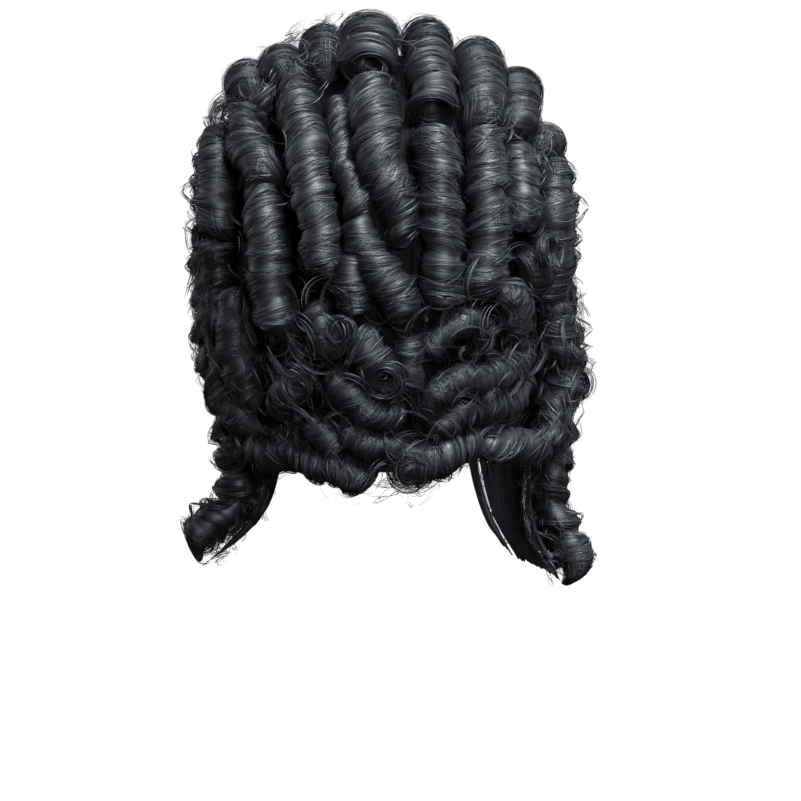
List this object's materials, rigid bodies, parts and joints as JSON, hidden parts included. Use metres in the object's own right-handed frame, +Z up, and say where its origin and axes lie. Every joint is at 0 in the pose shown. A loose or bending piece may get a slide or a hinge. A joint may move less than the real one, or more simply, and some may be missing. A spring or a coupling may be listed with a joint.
{
  "type": "long curled wig",
  "caption": "Long black full-bottomed wig with barrel rolls over the crown and down the back, a curled nape, and ringlet lappets that hang in front of the shoulders.",
  "frame": {"origin": "the inside of the cap at the very top of the head, where the wig bears on its wearer", "axes": "+Z up, the wearer looks along -Y, and +X is the wearer's left"},
  "size_m": [0.2253, 0.2287, 0.3157],
  "materials": {
    "curled_hair": "black synthetic hair set in curls, satin gleam across each roll",
    "straight_hair": "smooth near-black synthetic hair lying flat",
    "cap_net": "matte black wig net with rows of weft"
  },
  "bodies": {
    "root": {"cap": "cap_net", "lappet_left": "straight_hair", "lappet_right": "straight_hair", "strand_right": "straight_hair", "crown_roll_1": "curled_hair", "crown_roll_2": "curled_hair", "crown_roll_3": "curled_hair", "crown_roll_4": "curled_hair", "crown_roll_5": "curled_hair", "crown_roll_6": "curled_hair", "crown_roll_7": "curled_hair", "crown_roll_8": "curled_hair", "crown_roll_9": "curled_hair", "back_roll_1": "curled_hair", "back_roll_2": "curled_hair", "back_roll_2_lower": "curled_hair", "back_roll_3": "curled_hair", "back_roll_4": "curled_hair", "back_roll_5": "curled_hair", "back_roll_5_lower": "curled_hair", "back_roll_6": "curled_hair", "back_roll_7": "curled_hair", "back_roll_8": "curled_hair", "back_roll_9": "curled_hair", "nape_curl_1": "curled_hair", "nape_curl_2": "curled_hair", "nape_curl_3": "curled_hair", "nape_curl_4": "curled_hair", "nape_curl_5": "curled_hair", "nape_curl_6": "curled_hair", "nape_curl_7": "curled_hair", "nape_curl_8": "curled_hair", "nape_curl_9": "curled_hair", "nape_curl_10": "curled_hair", "nape_curl_11": "curled_hair", "nape_curl_12": "curled_hair", "nape_curl_13": "curled_hair", "nape_curl_14": "curled_hair", "nape_curl_15": "curled_hair", "nape_curl_16": "curled_hair", "side_roll_left": "curled_hair", "side_roll_right": "curled_hair", "side_lock_left": "curled_hair", "side_lock_right": "curled_hair", "nape_fall_left": "curled_hair", "nape_fall_right": "curled_hair", "ringlet_left_1": "curled_hair", "ringlet_left_2": "curled_hair", "ringlet_left_3": "curled_hair", "ringlet_left_4": "curled_hair", "ringlet_right_1": "curled_hair", "ringlet_right_2": "curled_hair", "ringlet_right_3": "curled_hair", "ringlet_right_4": "curled_hair"}
  },
  "joints": []
}
